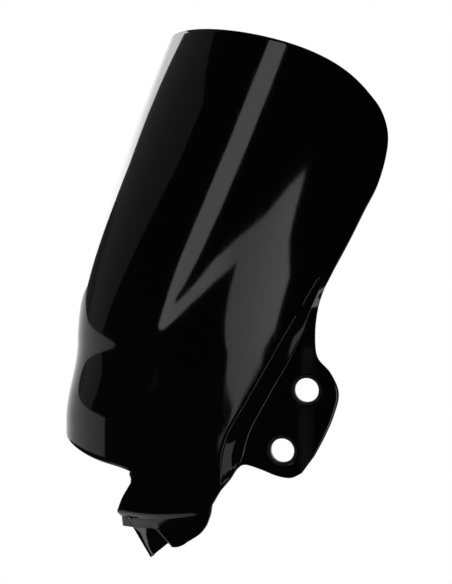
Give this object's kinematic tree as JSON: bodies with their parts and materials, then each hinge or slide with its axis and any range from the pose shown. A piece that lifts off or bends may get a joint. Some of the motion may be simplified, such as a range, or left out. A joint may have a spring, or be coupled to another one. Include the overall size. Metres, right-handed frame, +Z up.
{
  "type": "motorcycle windshield screen",
  "caption": "Tall curved windshield screen with stepped side ears, rubber grommets in its ear holes, and two forked feet",
  "frame": {"origin": "middle of the overall box", "axes": "the screen faces -Y, +Y points to the rider, +Z is up and +X is the rider's left; X = 0 is the mirror plane"},
  "size_m": [0.3224, 0.2379, 0.4028],
  "materials": {
    "sheet": "polished",
    "grommet": "matte"
  },
  "bodies": {
    "root": {"screen_sheet": "sheet", "grommet_left_upper": "grommet", "grommet_left_lower": "grommet", "grommet_right_upper": "grommet", "grommet_right_lower": "grommet"}
  },
  "joints": []
}
